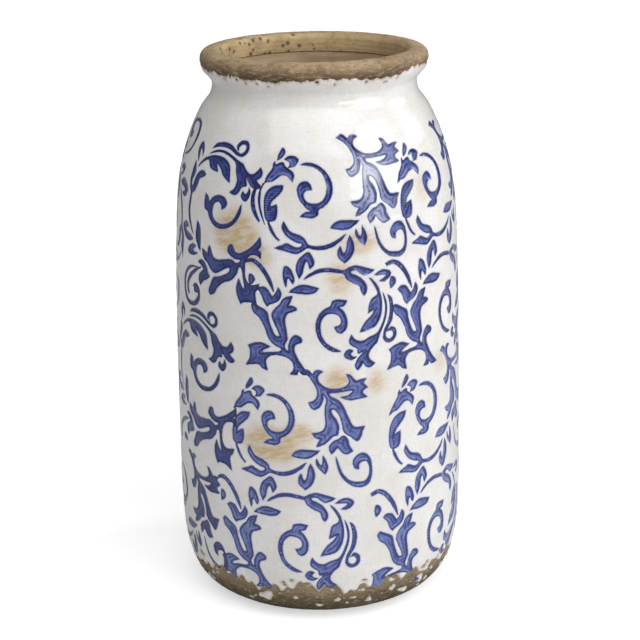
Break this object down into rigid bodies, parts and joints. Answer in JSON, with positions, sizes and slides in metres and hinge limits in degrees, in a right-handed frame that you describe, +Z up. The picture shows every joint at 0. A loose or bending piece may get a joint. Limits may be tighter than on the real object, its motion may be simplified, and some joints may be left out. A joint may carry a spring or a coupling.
{
  "type": "glazed earthenware vase",
  "caption": "Tall barrel-shaped glazed pottery vase with a short neck, rolled bare-clay rim, open mouth and blue scroll painting, free-standing on a flat foot.",
  "frame": {"origin": "centre of the foot, on the surface the vase stands on", "axes": "+Z up along the vase's axis of revolution, towards the mouth; -Y faces the front of the painting"},
  "size_m": [0.158, 0.1577, 0.3],
  "materials": {
    "bare_clay": "unglazed, rough, tan to dark brown",
    "white_tin_glaze": "glossy, opaque, with fine crazing and ochre stains",
    "cobalt_glaze": "glossy, dark outlines with a paler blue wash between them",
    "tan_lining_glaze": "thin satin glaze"
  },
  "bodies": {
    "root": {"clay_floor": "bare_clay", "clay_body": "bare_clay", "clay_shoulder": "bare_clay", "rolled_rim": "bare_clay", "white_glaze": "white_tin_glaze", "cobalt_scrolls": "cobalt_glaze", "inner_glaze": "tan_lining_glaze"}
  },
  "joints": []
}
